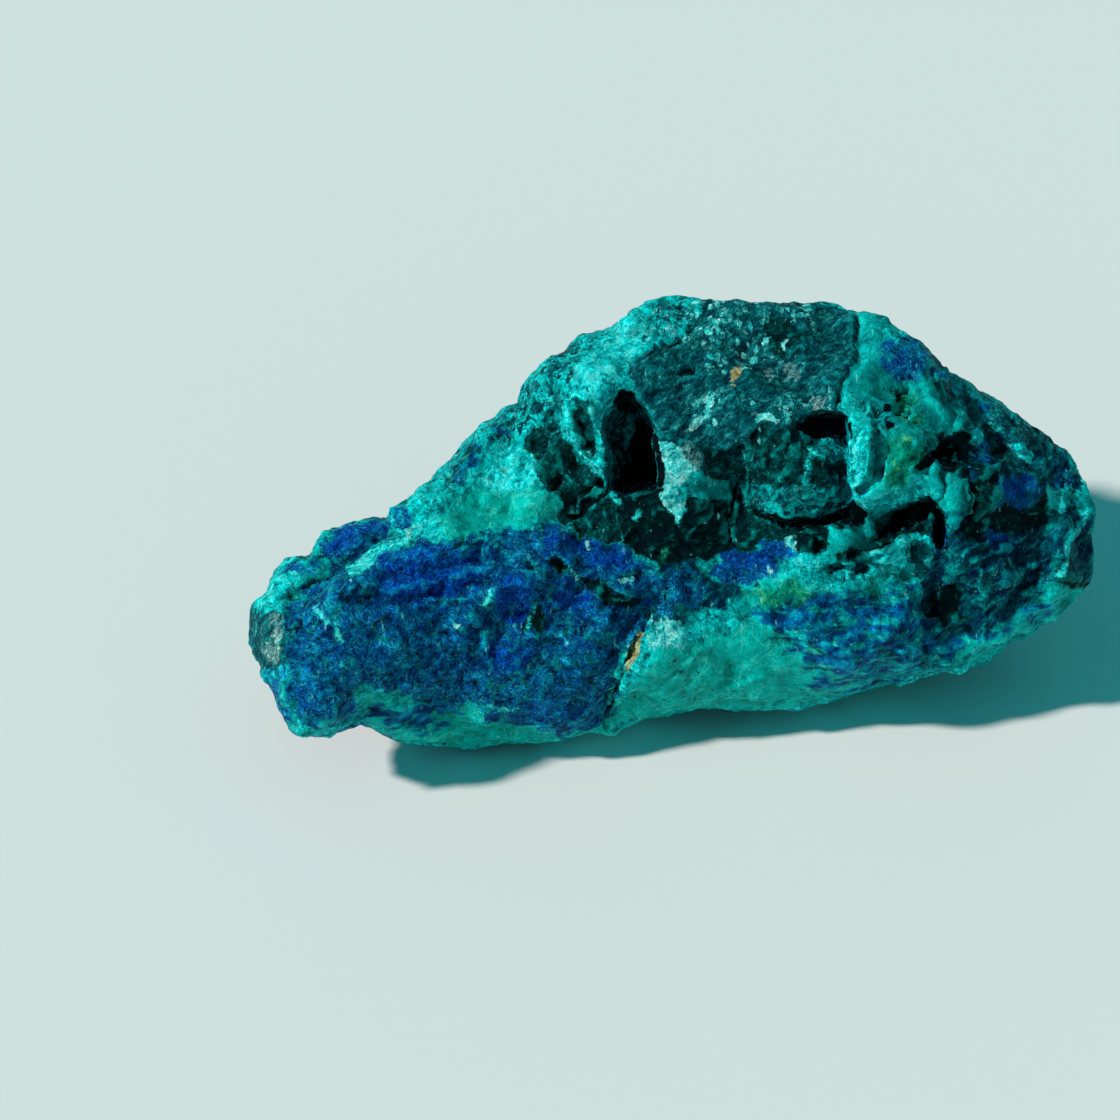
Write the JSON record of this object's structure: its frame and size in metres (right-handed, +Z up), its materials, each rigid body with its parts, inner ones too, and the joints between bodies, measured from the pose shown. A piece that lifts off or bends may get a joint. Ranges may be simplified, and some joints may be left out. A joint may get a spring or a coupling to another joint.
{
  "type": "azurite malachite specimen",
  "caption": "Rough elongated lump of blue and green copper ore with an open pocket, broken crystals and a round boss on its broad face, resting on a worn flat underside.",
  "frame": {"origin": "on the worn flat underside that the stone lies on, near the middle of the stone", "axes": "+X along the stone towards its blunt end, -Y towards the side that the broad face leans back from, +Z up from the worn underside"},
  "size_m": [0.0596, 0.0338, 0.0266],
  "materials": {
    "azurite_malachite": "rough natural mineral, turquoise green and azure blue"
  },
  "bodies": {
    "root": {"azurite_malachite_stone": "azurite_malachite"}
  },
  "joints": []
}
